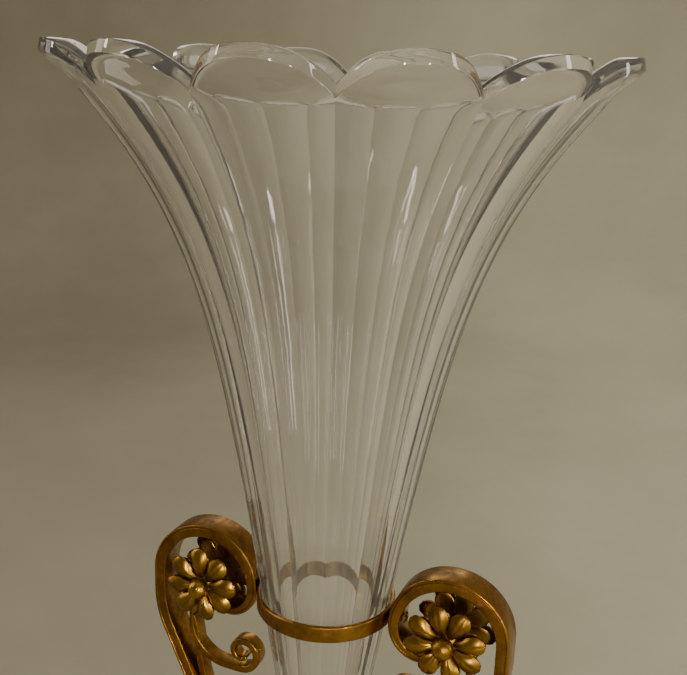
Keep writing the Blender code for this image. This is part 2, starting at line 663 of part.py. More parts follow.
def make_tie():
    """The rod that draws cup, stem and base together, with its washer and nut."""
    head_top = cup_floor() - GAP
    ceiling = BASE_TOP_Z - TREAD_THICK
    washer_top = ceiling - GAP
    nut_top = washer_top - WASHER_THICK - GAP
    rod_end = nut_top - NUT_THICK - 1.2 * MM
    under_head = head_top - ROD_HEAD_THICK + GAP
    turned("tie_rod", [(0, rod_end), (ROD_RADIUS, rod_end), (ROD_RADIUS, under_head),
                       (ROD_HEAD_RADIUS, under_head), (ROD_HEAD_RADIUS, head_top), (0, head_top)],
           brass, SMALL)
    bore = ROD_RADIUS + GAP
    edge = WASHER_RADIUS
    profile = [(bore, washer_top - WASHER_THICK), (edge, washer_top - WASHER_THICK),
               (edge, washer_top), (bore, washer_top)]
    turned("tie_washer", profile, brass, MIDDLING, closed=True)
    shape = bmesh.new()
    corners = [Vector((math.cos(math.tau * i / 12), math.sin(math.tau * i / 12), 0)) for i in range(12)]
    flat = NUT_RADIUS * math.cos(math.radians(30))
    rows = []
    for z in (nut_top - NUT_THICK, nut_top):
        outside = [shape.verts.new(c * (NUT_RADIUS if i % 2 == 0 else flat) + Vector((0, 0, z)))
                   for i, c in enumerate(corners)]
        inside = [shape.verts.new(c * bore / math.cos(math.radians(15)) + Vector((0, 0, z)))
                  for c in corners]
        rows.append((outside, inside))
    (low_out, low_in), (high_out, high_in) = rows
    for i in range(12):
        j = (i + 1) % 12
        shape.faces.new((low_out[i], low_out[j], high_out[j], high_out[i]))
        shape.faces.new((low_in[j], low_in[i], high_in[i], high_in[j]))
        shape.faces.new((high_out[i], high_out[j], high_in[j], high_in[i]))
        shape.faces.new((low_out[j], low_out[i], low_in[i], low_in[j]))
    finish_mesh("tie_nut", shape, brass)


# ---------------------------------------------------------------- assembly

for old in list(bpy.data.objects):
    bpy.data.objects.remove(old)

crystal = new_material("crystal", (0.93, 0.94, 0.92), 0.0, 0.02, 1.0)
gilt = new_material("gilt_bronze", (0.62, 0.42, 0.14), 1.0, 0.32)
brass = new_material("plain_brass", (0.70, 0.55, 0.28), 1.0, 0.38)
felt = new_material("felt", (0.10, 0.22, 0.13), 0.0, 0.95)
hidden = new_material("cutter", (0.8, 0.1, 0.1), 0.0, 0.5)

make_trumpet()
rivet_holes = [make_bracket(side) for side in ("left", "right")]
make_ring(rivet_holes)
for bracket_side in ("left", "right"):
    make_rivet(bracket_side)
    make_toe_screw(bracket_side)
    make_branch(bracket_side)
    make_flowers(bracket_side)
make_cup()
make_seat()
make_stem()
make_base()
make_bead_ring()
make_feet()
make_tie()
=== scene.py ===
"""Looks of the cut crystal trumpet vase in its gilt-bronze mount.

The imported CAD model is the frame. The turned pieces take their outlines from their
CAD nodes and are spun again finely with softened edges. Crystal, straps, petals,
buttons and beads are modelled here. Lengths are in metres unless a comment says
otherwise.
"""

import json
import math

import bmesh
import bpy
from mathutils import Matrix, Vector


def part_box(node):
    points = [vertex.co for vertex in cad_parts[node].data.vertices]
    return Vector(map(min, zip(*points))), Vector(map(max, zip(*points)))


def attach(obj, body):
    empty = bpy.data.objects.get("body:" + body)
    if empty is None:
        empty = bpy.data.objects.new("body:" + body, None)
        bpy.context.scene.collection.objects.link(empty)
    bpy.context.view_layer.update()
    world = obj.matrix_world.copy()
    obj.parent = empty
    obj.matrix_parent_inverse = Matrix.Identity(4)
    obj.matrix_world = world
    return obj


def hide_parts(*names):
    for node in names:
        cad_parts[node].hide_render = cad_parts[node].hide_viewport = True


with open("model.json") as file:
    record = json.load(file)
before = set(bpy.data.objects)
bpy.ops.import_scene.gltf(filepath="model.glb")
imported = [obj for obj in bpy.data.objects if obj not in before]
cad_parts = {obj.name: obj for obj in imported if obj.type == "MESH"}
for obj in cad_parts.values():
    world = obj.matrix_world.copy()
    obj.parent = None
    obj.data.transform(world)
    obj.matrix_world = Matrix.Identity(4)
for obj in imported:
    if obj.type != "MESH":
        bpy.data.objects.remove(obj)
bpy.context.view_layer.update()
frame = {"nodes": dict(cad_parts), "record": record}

MM = 0.001
GAP = 0.3 * MM                      # between neighbouring pieces

# camera, as the photograph was taken
CAMERA_DISTANCE = 0.3819            # from the vase's axis
CAMERA_HEIGHT = 0.39795
CAMERA_ROUND = math.radians(21.73)  # from -Y towards +X
CAMERA_DOWN = math.radians(15.80)
CAMERA_ROLL = math.radians(2.01)
CAMERA_ASIDE = math.radians(0.53)
CAMERA_LENS = 52.58                 # mm
CAMERA_SENSOR = 36                  # mm
CAMERA_NEAR = 0.01

# reading and rounding outlines, cleaning meshes
ON_RAY = 0.02 * MM                  # a vertex this near the ray is read
BEHIND_AXIS = 0.01 * MM             # how far past the axis it may lie
ON_AXIS = 0.05 * MM                 # a radius below this counts as the axis
CURVE_TURN = math.radians(42)       # a corner that turns less is part of a curve
LEG_SHARE = 0.48                    # most of a leg that a corner's round may take
MERGE = 0.002 * MM                  # vertices nearer than this become one
SLIVER = 0.001 * MM                 # faces thinner than this go

# crystal trumpet
FLUTES = 14
FLUTE_TURN = math.radians(7.7)
RIM_RADIUS = 108.4 * MM
FLARE_RADIUS = 62.5 * MM
GLASS_FOOT_RADIUS = 14.3 * MM
FLARE_DEPTH = 50.4 * MM             # where the flare has died away to 37%
FLARE_POWER = 1.2
NOTCH_DEPTH = 10.2 * MM
SCALLOP_POWER = 2.4
LIP_LEAN = 0.8 * MM
TIP_BULGE = 3.75 * MM
TIP_BULGE_FADE = 16 * MM
FLUTE_HOLLOW = 0.022                # its depth, as a share of the flute's width
FLUTE_FADE = (7 * MM, 15 * MM)      # depths where the flutes start and are full
WALL = 5.0 * MM                     # measured level; thicker towards the rim
RIM_WALL_EXTRA = 3.8 * MM
RIM_WALL_FADE = 30 * MM
GLASS_FLOOR = 14 * MM
BOWL_DEPTH = 0.35                   # of the inside's floor, as a share of its radius
BOWL_SHARES = (0.97, 0.85, 0.65, 0.4, 0.15)
SCALLOP_FADE = 60 * MM
COLUMNS_PER_FLUTE = 24
GLASS_LEVELS = 72
LEVEL_CROWDING = 1.6                # above 1, levels crowd towards the rim
RIM_EDGE_ROUND = 0.55 * MM
RIM_INSIDE_ROUND = 2.6 * MM
RIM_CLEAR = 0.1 * MM                # from the rim's round down to the next level

# brackets, as their CAD nodes are bent
STRAP_THICK = 5.5 * MM
STRAP_TIP = 2.6 * MM
STRAP_ENDS = (0.18, 0.10)           # shares of its length that taper, at eye and toe
SCROLL_RADIUS = 25.6 * MM
SCROLL_BELOW_RING = 1.4 * MM
SCROLL_DROP = 10.0 * MM
SHOULDER_RADIUS = 43.5 * MM
STRAP_LEAN = 24.3                   # degrees
ANKLE_RADIUS = 20.0 * MM
TOE_LENGTH = 7.0 * MM
TOE_TURN = 250                      # degrees
TOE_CURL = 6.0 * MM
TOE_CURL_END = TOE_CURL * 0.5
EYE_TURN = 150                      # degrees
EYE_RADIUS = 14.5 * MM
EYE_CURL = 6.0 * MM
BRANCH_WIDTH = 7.0 * MM
BRANCH_THICK = 3.2 * MM
BRANCH_TIP = BRANCH_THICK * 0.5
BRANCH_ENDS = (0.35, 0.3)
BRANCH_OUT = 8.7 * MM
BRANCH_TOP = 17.0 * MM
BRANCH_DROP = 8.0 * MM
BRANCH_TURN = 88                    # degrees
BRANCH_BEND = 17.5 * MM
BRANCH_RUN = 7.5 * MM
CURL_TURN = 420                     # degrees
CURL_RADIUS = 8.4 * MM
CURL_END_RADIUS = 2.4 * MM
ROOT_IN = 0.3 * BRANCH_THICK        # where the root starts, from the branch's own start
ROOT_DOWN = 0.6 * BRANCH_DROP
ROOT_DROP = 46 * MM
ROOT_TIP = BRANCH_THICK * 0.4
ROOT_ENDS = (0.5, 0.5)
ROOT_WIDTH = BRANCH_WIDTH * 0.96
ROOT_MEETS = 0.7                    # share of its run by which it lies along the strap
ROOT_SLANT = 0.75                   # its first slant, as a share of the strap's lean
ROOT_STEPS = 30
BEND_STEP = 3                       # degrees between stations
RUN_STEPS = 4
END_TURNS = (30, 60, 82)            # degrees round a bar's end
CORNER_POINTS = 4
EDGE_ROUND = 0.55 * MM
EDGE_MOST = 0.45                    # largest round, as a share of half the thickness
LINE_IN = 0.75 * MM                 # chased line, in from the strap's outer edge
LINE_HALF = 0.22 * MM
LINE_DEPTH = 0.25 * MM

# flowers
PETALS = 8
PETAL_TIP = 17.2 * MM
PETAL_ROOT = 2.4 * MM
PETAL_HALF_WIDTH = 4.2 * MM
PETAL_WIDEST = 0.68                 # share of a petal's length where it is widest
PETAL_NECK = 0.30                   # width at its root, as a share of that
PETAL_SHEET = 0.9 * MM
PETAL_UNDER = 0.94                  # width of the underside, as a share of the top's
PETAL_ARCH = 2.2 * MM
PETAL_ARCH_SPAN = (0.10, 0.62)      # start and length of the arch, in half turns
PETAL_CROWN = 1.8 * MM
PETAL_CROWN_REACH = 1.02            # above 1, it ends short of the tip
PETAL_CROWN_ROUND = 0.6             # below 1, a fuller crown
PETAL_CREASE = 0.35 * MM
PETAL_CREASE_ROUND = 0.8
PETAL_CREASE_WIDTH = 0.13           # as a share of half the petal's width
PETAL_TURN = {"left": 8.0, "right": 15.0}   # degrees
PETAL_LENGTH_VARIES = 0.03
PETAL_WIDTH_VARIES = 0.06
PETAL_LIFT_VARIES = 0.5 * MM
PETAL_TURN_VARIES = 2.5             # degrees
PETAL_STEPS = (18, 14)              # along and across
JITTER_WEIGHTS = (12.9898, 78.233, 37.719)
JITTER_SPREAD = 43758.5453
PLATE_TIP = 15.2 * MM               # plate behind the petals, to the middle of a lobe
PLATE_WAIST = 0.72                  # its outline between lobes, as a share of that
PLATE_LOBE = 0.6                    # below 1, fuller lobes
PLATE_THICK = 0.8 * MM
PLATE_DISH = 0.5 * MM
PLATE_SHARES = (0.12, 0.4, 0.7, 0.88, 0.97, 1.0)
PLATE_EDGE = 8                      # higher, a tighter round at the plate's edge
STEPS_PER_LOBE = 16
HUB = ((2.1, 0.1), (5.2, 0.1), (5.6, 0.7), (5.2, 1.6), (3.6, 2.6), (2.1, 2.8))  # mm
HUB_SIDES = 48
BUTTON_RADIUS = 4.5 * MM
BUTTON_HEIGHT = 3.7 * MM
BUTTON_SEAT = 1.4 * MM
BUTTON_WRAP = 118                   # degrees from its top to its lower edge
BUTTON_STEPS = (44, 120)            # down and around
BUTTON_DOTS = 22
DOTS_REACH = 0.96                   # share of the dome's height that is punched
DOT_RADIUS = 0.36 * MM
DOT_DEPTH = 0.14 * MM
DOT_EDGE = 1.4                      # higher, a crisper dot

# bead ring; phase runs from 0 at a long bead's middle to 1 halfway to the next
BEADS = 28
BEAD_STEPS = 28
BEAD_SIDES = 14
LONG_BEAD_END = 0.66
LONG_BEAD_HALF = 0.68
LONG_BEAD_WAIST = 0.42              # thickness at a bead's ends, as a share of the full one
LONG_BEAD_SWELL = 0.56
SMALL_BEAD_MIDDLE = 0.84
SMALL_BEAD_HALF = 0.16
SMALL_BEAD_WAIST = 0.34
SMALL_BEAD_SWELL = 0.28
BEAD_SINK = 0.5                     # where it thins, how far it sinks to the step

# turned pieces
CAD_SIDES = 42                      # of the CAD's collar ring and base
# where these two outlines are read, clear of rivets, screws and feet
COLLAR_ANGLE = math.tau * 5 / CAD_SIDES
BASE_ANGLE = math.tau * 3 / CAD_SIDES

# gold and patina of each group of gilt pieces
STRAP_GOLD, STRAP_PATINA = (0.40, 0.200, 0.036), (0.16, 0.072, 0.013)
FLOWER_GOLD, FLOWER_PATINA = (0.46, 0.255, 0.036), (0.15, 0.072, 0.012)
TURNED_GOLD, TURNED_PATINA = (0.44, 0.230, 0.042), (0.17, 0.080, 0.016)
DULL_GOLD = 0.82                    # brightness of the gold's duller parts
WORN_COPPER = (0.50, 0.20, 0.07)
PIT_BROWN = (0.05, 0.03, 0.015)
CLEAN_GLASS, DUSTY_GLASS = (0.985, 0.98, 0.962), (0.965, 0.955, 0.93)
CLEAN_BRASS, DULL_BRASS = (0.74, 0.58, 0.30), (0.42, 0.30, 0.15)
DARK_FELT, PALE_FELT = (0.035, 0.10, 0.05), (0.07, 0.16, 0.09)

# floor and wall, on the side the light comes from and on the shaded side
ROOM_PALE = (0.47, 0.445, 0.345)
ROOM_DARK = (0.37, 0.345, 0.26)
# painted shade: the darker pair stands in for the shade on the side away from the light
ROOM_SHADED_PALE = (0.27, 0.245, 0.182)
ROOM_SHADED_DARK = (0.20, 0.180, 0.130)
ROOM_SHADE_HALF = 0.42              # half width of the blend between the two
# tilts the painted shade upward, so the floor and the wall's foot are painted darker
ROOM_SHADE_TILT = 0.2
FLOOR_MIDDLE = 0.0001               # a pinhole, merged shut
FLOOR_MERGE = 0.001
FLOOR_FLAT = 0.5
FLOOR_SWEEP = 0.55                  # radius of the bend from floor to wall
SWEEP_STEP = 6                      # degrees
WALL_RADIUS = 1.55
WALL_HEIGHT = 1.9
WALL_SIDES = 96
GLOW_COLOUR = (0.50, 0.465, 0.36, 1)
GLOW_STRENGTH = 0.88


# ---------------------------------------------------------------- mesh tools

def face_outward(shape):
    """Turns the faces of each closed shell outward, by the sign of its volume."""
    bmesh.ops.recalc_face_normals(shape, faces=shape.faces)
    waiting = dict.fromkeys(shape.faces)
    while waiting:
        front = [waiting.popitem()[0]]
        shell = []
        while front:
            face = front.pop()
            shell.append(face)
            for near in {other for edge in face.edges for other in edge.link_faces}:
                if near in waiting:
                    del waiting[near]
                    front.append(near)
        volume = 0.0
        for face in shell:
            corners = [vertex.co for vertex in face.verts]
            for b, c in zip(corners[1:], corners[2:]):
                volume += corners[0].dot(b.cross(c))
        if volume < 0:
            bmesh.ops.reverse_faces(shape, faces=shell)


def piece(name, shape, material, node, body="mount", sharp=32):
    """Makes a bmesh a named object that stands for a CAD node and rides its body."""
    face_outward(shape)
    mesh = bpy.data.meshes.new(name)
    shape.to_mesh(mesh)
    shape.free()
    mesh.shade_smooth()
    mesh.set_sharp_from_angle(angle=math.radians(sharp))
    mesh.materials.append(material)
    made = bpy.data.objects.new(name, mesh)
    bpy.context.scene.collection.objects.link(made)
    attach(made, body)
    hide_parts(node)


def skin(shape, rings, around=True):
    """Faces between successive rings of vertices; around closes each ring."""
    for ring, after in zip(rings, rings[1:]):
        count = len(ring)
        for i in range(count if around else count - 1):
            j = (i + 1) % count
            shape.faces.new((ring[i], ring[j], after[j], after[i]))


def turned_corner(before, corner, after, radius, steps):
    """A corner of an outline, rounded: points from one leg to the other."""
    first, last = before - corner, after - corner
    start = corner + first.normalized() * min(radius, first.length * LEG_SHARE)
    end = corner + last.normalized() * min(radius, last.length * LEG_SHARE)
    shares = [k / steps for k in range(steps + 1)]
    return [start * (1 - t) ** 2 + corner * 2 * t * (1 - t) + end * t ** 2 for t in shares]


def soften(outline, closed, edge, steps=4):
    """Rounds an outline: curves run smooth, and real corners get a small round."""
    count = len(outline)
    soft = [] if closed else [outline[0]]
    for i in range(0 if closed else 1, count if closed else count - 1):
        before, corner, after = outline[i - 1], outline[i], outline[(i + 1) % count]
        turn = (corner - before).angle(after - corner, 0)
        radius = math.inf if turn < CURVE_TURN else edge
        soft += turned_corner(before, corner, after, radius, steps)
    return soft if closed else soft + [outline[-1]]


def outline_of(node, at_angle, middle):
    """The (radius, height) outline of a turned CAD node, read at one angle of its spin.

    Also says whether the outline is closed, as it is when it never meets the axis.
    """
    mesh = frame["nodes"][node].data
    ray = Vector((math.cos(at_angle), math.sin(at_angle)))
    places = {}
    for vertex in mesh.vertices:
        spot = vertex.co
        flat = Vector((spot.x - middle[0], spot.y - middle[1]))
        off = flat.x * ray.y - flat.y * ray.x
        if abs(off) < ON_RAY and flat.dot(ray) > -BEHIND_AXIS:
            key = (round(flat.length, 6), round(spot.z, 6))
            places[vertex.index] = key
    links = {}
    for edge in mesh.edges:
        a, b = (places.get(i) for i in edge.vertices)
        if a is not None and b is not None and a != b:
            links.setdefault(a, set()).add(b)
            links.setdefault(b, set()).add(a)
    on_axis = sorted((key for key in links if key[0] < ON_AXIS), key=lambda key: key[1])
    walk = [on_axis[0] if on_axis else min(links)]
    while True:
        ways = [key for key in links[walk[-1]] if key not in walk]
        if on_axis:
            ways = [key for key in ways if key[0] > ON_AXIS or len(walk) > 2]
        if not ways:
            break
        near = [key for key in ways if len(links[key]) <= 2] or ways
        walk.append(min(near, key=lambda key: math.dist(key, walk[-1])))
    return [Vector(key) for key in walk], not on_axis


def spun(shape, outline, sides, middle=(0, 0)):
    """Vertices of a (radius, height) outline at each of its places round the axis."""
    rings = []
    for k in range(sides):
        angle = math.tau * k / sides
        rings.append([shape.verts.new((middle[0] + radius * math.cos(angle),
                                       middle[1] + radius * math.sin(angle), height))
                      for radius, height in outline])
    return rings + [rings[0]]


def spin(node, material, at_angle=0.0, edge=0.35 * MM, sides=120, middle=(0, 0)):
    """A turned CAD node made again, finely."""
    outline, closed = outline_of(node, at_angle, middle)
    shape = bmesh.new()
    skin(shape, spun(shape, soften(outline, closed, edge), sides, middle), around=closed)
    bmesh.ops.remove_doubles(shape, verts=shape.verts, dist=MERGE)
    piece(f"{node}_turned", shape, material, node)


# ---------------------------------------------------------------- material tools

class Shading:
    """A Principled material and short ways to add nodes to it."""

    def __init__(self, name):
        self.material = bpy.data.materials.new(name)
        self.material.use_nodes = True
        self.tree = self.material.node_tree
        self.shader = self.tree.nodes["Principled BSDF"]
        self.place = self.tree.nodes.new("ShaderNodeTexCoord").outputs["Object"]

    def socket(self, name, value):
        self.shader.inputs[name].default_value = value

    def link(self, out, name):
        self.tree.links.new(out, self.shader.inputs[name])

    def stretch(self, x, y, z):
        node = self.tree.nodes.new("ShaderNodeMapping")
        node.inputs["Scale"].default_value = (x, y, z)
        self.tree.links.new(self.place, node.inputs["Vector"])
        return node.outputs["Vector"]

    def noise(self, scale, detail=4.0, rough=0.55, where=None, twist=0.0):
        node = self.tree.nodes.new("ShaderNodeTexNoise")
        node.inputs["Scale"].default_value = scale
        node.inputs["Detail"].default_value = detail
        node.inputs["Roughness"].default_value = rough
        node.inputs["Distortion"].default_value = twist
        self.tree.links.new(where or self.place, node.inputs["Vector"])
        return node.outputs["Fac"]

    def across(self, direction):
        """Distance along a direction, in metres from the vase's axis."""
        node = self.tree.nodes.new("ShaderNodeVectorMath")
        node.operation = "DOT_PRODUCT"
        node.inputs[1].default_value = direction
        self.tree.links.new(self.place, node.inputs[0])
        return node.outputs["Value"]

    def cells(self, scale):
        node = self.tree.nodes.new("ShaderNodeTexVoronoi")
        node.inputs["Scale"].default_value = scale
        self.tree.links.new(self.place, node.inputs["Vector"])
        return node.outputs["Distance"]

    def span(self, out, low, high, to_low=0.0, to_high=1.0):
        node = self.tree.nodes.new("ShaderNodeMapRange")
        node.interpolation_type = "SMOOTHSTEP"
        ends = (("From Min", low), ("From Max", high), ("To Min", to_low), ("To Max", to_high))
        for name, value in ends:
            node.inputs[name].default_value = value
        self.tree.links.new(out, node.inputs["Value"])
        return node.outputs["Result"]

    def math(self, operation, a, b):
        node = self.tree.nodes.new("ShaderNodeMath")
        node.operation = operation
        for slot_number, value in enumerate((a, b)):
            if isinstance(value, float):
                node.inputs[slot_number].default_value = value
            else:
                self.tree.links.new(value, node.inputs[slot_number])
        return node.outputs[0]

    def mix(self, share, first, second):
        """Mixes two colours; each is a tuple or another node's output."""
        node = self.tree.nodes.new("ShaderNodeMix")
        node.data_type = "RGBA"
        self.tree.links.new(share, node.inputs["Factor"])
        for colour, name in ((first, 6), (second, 7)):
            if isinstance(colour, tuple):
                node.inputs[name].default_value = (*colour, 1)
            else:
                self.tree.links.new(colour, node.inputs[name])
        return node.outputs[2]

    def bump(self, height, strength, distance, before=None):
        node = self.tree.nodes.new("ShaderNodeBump")
        node.inputs["Strength"].default_value = strength
        node.inputs["Distance"].default_value = distance
        self.tree.links.new(height, node.inputs["Height"])
        if before is not None:
            self.tree.links.new(before, node.inputs["Normal"])
        return node.outputs["Normal"]


def crystal_material():
    """Clear lead crystal: faint drawn waves along the flutes, hairline wear, a little dust."""
    look = Shading("cut_crystal")
    look.socket("Transmission Weight", 0.97)
    look.socket("IOR", 1.545)
    along = look.stretch(1, 1, 0.08)
    waves = look.noise(110, 2.0, 0.5, along)
    specks = look.span(look.cells(420), 0.05, 0.0)
    dust = look.noise(38, 5.0, 0.6)
    look.link(look.mix(look.span(dust, 0.35, 0.7), CLEAN_GLASS, DUSTY_GLASS), "Base Color")
    smear = look.span(look.noise(70, 6.0, 0.65), 0.55, 0.8, 0.004, 0.03)
    look.link(look.math("ADD", smear, look.math("MULTIPLY", specks, 0.2)), "Roughness")
    drawn = look.bump(waves, 0.15, 0.4 * MM)
    look.link(look.bump(look.noise(900, 2.0), 0.02, 0.05 * MM, drawn), "Normal")
    return look.material


def gilt_material(name, gold, brown):
    """Aged gilding: warm gold, brown patina in patches, copper where it is worn, small pits."""
    look = Shading(name)
    look.socket("Metallic", 1.0)
    look.socket("Specular IOR Level", 0.5)
    cloud = look.noise(55, 6.0, 0.6, twist=0.6)
    fine = look.noise(420, 5.0, 0.62)
    grain = look.noise(2400, 3.0, 0.6)
    dull = tuple(channel * DULL_GOLD for channel in gold)
    colour = look.mix(look.span(fine, 0.3, 0.7), gold, dull)
    patina = look.math("MULTIPLY", look.span(cloud, 0.40, 0.66),
                       look.span(fine, 0.25, 0.6, 0.45, 1.0))
    colour = look.mix(patina, colour, brown)
    worn = look.math("MULTIPLY", look.span(look.noise(95, 3.0, 0.5), 0.63, 0.72),
                     look.span(fine, 0.42, 0.6))
    colour = look.mix(worn, colour, WORN_COPPER)
    pits = look.span(look.cells(760), 0.16, 0.05)
    pits = look.math("MULTIPLY", pits, look.span(look.noise(160, 2.0), 0.52, 0.62))
    colour = look.mix(pits, colour, PIT_BROWN)
    look.link(colour, "Base Color")
    rough = look.span(cloud, 0.3, 0.75, 0.20, 0.42)
    rough = look.math("ADD", rough, look.math("MULTIPLY", look.span(fine, 0.4, 0.75), 0.12))
    look.link(rough, "Roughness")
    surface = look.bump(cloud, 0.25, 0.5 * MM)
    surface = look.bump(fine, 0.22, 0.10 * MM, surface)
    surface = look.bump(grain, 0.12, 0.03 * MM, surface)
    look.link(look.bump(look.math("SUBTRACT", 1.0, pits), 0.6, 0.12 * MM, surface), "Normal")
    return look.material


def brass_material():
    """Plain lathe-turned brass with tool rings and a dull film."""
    look = Shading("turned_brass")
    look.socket("Metallic", 1.0)
    film = look.noise(90, 5.0, 0.6)
    rings = look.noise(900, 3.0, 0.6, look.stretch(0.05, 0.05, 1))
    look.link(look.mix(look.span(film, 0.35, 0.7), CLEAN_BRASS, DULL_BRASS), "Base Color")
    look.link(look.span(film, 0.3, 0.7, 0.28, 0.5), "Roughness")
    look.link(look.bump(rings, 0.4, 0.06 * MM), "Normal")
    return look.material


def felt_material():
    """Matted green wool felt."""
    look = Shading("green_felt")
    look.socket("Sheen Weight", 0.35)
    look.socket("Sheen Roughness", 0.5)
    fibres = look.noise(2600, 4.0, 0.7, twist=1.2)
    tufts = look.noise(240, 4.0, 0.6)
    look.link(look.mix(tufts, DARK_FELT, PALE_FELT), "Base Color")
    look.link(look.span(tufts, 0.2, 0.8, 0.85, 1.0), "Roughness")
    look.link(look.bump(fibres, 0.8, 0.25 * MM), "Normal")
    return look.material


# ---------------------------------------------------------------- crystal

GLASS_LOW, GLASS_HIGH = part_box("crystal_trumpet")
GLASS_TOP = GLASS_HIGH.z
GLASS_FOOT = GLASS_LOW.z


def ridge_radius(depth):
    """Outside radius along the ridges between flutes, at a depth below the rim."""
    slope = (FLARE_RADIUS - GLASS_FOOT_RADIUS) / (GLASS_TOP - GLASS_FOOT)
    flare = (RIM_RADIUS - FLARE_RADIUS) * math.exp(-((depth / FLARE_DEPTH) ** FLARE_POWER))
    return FLARE_RADIUS - slope * depth + flare


def smooth_share(value, low, high):
    share = min(max((value - low) / (high - low), 0), 1)
    return share * share * (3 - 2 * share)


def flute_radius(depth, across):
    """Outside radius across a flute, from one ridge (-1) to the next (1)."""
    ridge = ridge_radius(depth)
    half = math.pi / FLUTES
    flat = ridge * math.cos(half) / math.cos(half * across)
    hollow = 2 * ridge * math.sin(half) * FLUTE_HOLLOW * (1 - across ** 2)
    bulge = TIP_BULGE * (1 - across ** 2) * max(0, 1 - depth / TIP_BULGE_FADE)
    return ridge + (flat - hollow - ridge) * smooth_share(depth, *FLUTE_FADE) + bulge


def glass_wall(depth):
    return WALL + RIM_WALL_EXTRA * math.exp(-depth / RIM_WALL_FADE)


def scallop(across):
    return NOTCH_DEPTH * abs(across) ** SCALLOP_POWER


def rim_lift():
    """How far the inside starts above the outside, so the wall is square to the flare."""
    step = 1 * MM
    slope = (ridge_radius(0) - ridge_radius(2 * step)) / (2 * step)
    return glass_wall(0) * slope / (1 + slope ** 2)


def glass_column(across):
    """(radius, z) outline of the glass at a place across a flute, foot to foot's hollow."""
    lift, edge = rim_lift(), scallop(across)
    total = GLASS_TOP - GLASS_FOOT - lift
    levels = [total * (k / GLASS_LEVELS) ** LEVEL_CROWDING for k in range(GLASS_LEVELS + 1)]
    outer, inner = [], []
    for level in levels:
        fade = max(0, 1 - level / SCALLOP_FADE)
        depth = lift + level + edge * fade
        outer.append(Vector((flute_radius(depth, across), GLASS_TOP - depth)))
        if level < total - GLASS_FLOOR:
            raised = depth - lift * fade ** 3
            inner.append(Vector((ridge_radius(raised) - glass_wall(raised), GLASS_TOP - raised)))
    floor = GLASS_FOOT + GLASS_FLOOR
    bowl = inner[-1].x
    inner += [Vector((bowl * share, floor - bowl * BOWL_DEPTH * math.sqrt(1 - share ** 2)))
              for share in BOWL_SHARES]
    outer.reverse()
    lip = Vector((outer[-1].x - LIP_LEAN, inner[0].y))
    rim = turned_corner(outer[-2], outer[-1], lip, RIM_EDGE_ROUND, steps=3)
    rim += turned_corner(outer[-1], lip, inner[0], RIM_EDGE_ROUND, steps=4)
    rim += turned_corner(lip, inner[0], inner[4], RIM_INSIDE_ROUND, steps=6)
    below = rim[-1].y - RIM_CLEAR
    return outer[:-1] + rim + [point for point in inner if point.y < below]


def make_crystal():
    shape = bmesh.new()
    columns = []
    outlines = [glass_column(2 * i / COLUMNS_PER_FLUTE - 1) for i in range(COLUMNS_PER_FLUTE)]
    count = FLUTES * COLUMNS_PER_FLUTE
    for i in range(count):
        angle = FLUTE_TURN + math.tau * i / count
        columns.append([shape.verts.new((radius * math.cos(angle), radius * math.sin(angle), z))
                        for radius, z in outlines[i % COLUMNS_PER_FLUTE]])
    skin(shape, columns + [columns[0]], around=False)
    shape.faces.new([column[0] for column in columns])
    shape.faces.new([column[-1] for column in columns])
    piece("fluted_crystal", shape, crystal_material(), "crystal_trumpet",
          body="trumpet", sharp=16)


# ---------------------------------------------------------------- straps

def follow(start, heading, moves):
    """Walks a bent strap's middle line.

    A move of (length,) runs straight; one of (turn, radius, end radius) bends.
    """
    x, z = start
    angle = math.radians(heading)
    stations = [(x, z, angle)]
    for move in moves:
        if len(move) == 1:
            for _ in range(RUN_STEPS):
                x += move[0] / RUN_STEPS * math.cos(angle)
                z += move[0] / RUN_STEPS * math.sin(angle)
                stations.append((x, z, angle))
            continue
        turn, radius, end_radius = move
        steps = max(2, round(abs(turn) / BEND_STEP))
        part = math.radians(turn) / steps
        for i in range(steps):
            bend = radius + (end_radius - radius) * (i + 0.5) / steps
            chord = 2 * bend * math.sin(abs(part) / 2)
            x += chord * math.cos(angle + part / 2)
            z += chord * math.sin(angle + part / 2)
            angle += part
            stations.append((x, z, angle))
    return stations


def taper(tip, full, start_share, end_share):
    """Thickness by share of a bar's length, thinning to its tip at both ends."""
    def thickness(share):
        edge = min(share / start_share, (1 - share) / end_share, 1)
        return tip + (full - tip) * math.sin(max(edge, 0) * math.pi / 2)
    return thickness


def strap_section(half_width, half_thick, line):
    """A flat bar's rounded section, with a chased line near its outer edge on both faces."""
    round_off = min(EDGE_ROUND, half_thick * EDGE_MOST)
    mark = half_thick - round_off - LINE_IN
    points = []
    for side, up, start in ((1, 1, 0), (-1, 1, 90), (-1, -1, 180), (1, -1, 270)):
        middle = (side * (half_width - round_off), up * (half_thick - round_off))
        for k in range(CORNER_POINTS):
            angle = math.radians(start + 90 * k / (CORNER_POINTS - 1))
            points.append((middle[0] + round_off * math.cos(angle),
                           middle[1] + round_off * math.sin(angle)))
        if line and start in (90, 270):
            way = 1 if start == 90 else -1
            points += [(side * half_width, mark + way * LINE_HALF),
                       (side * (half_width - LINE_DEPTH), mark),
                       (side * half_width, mark - way * LINE_HALF)]
    return points


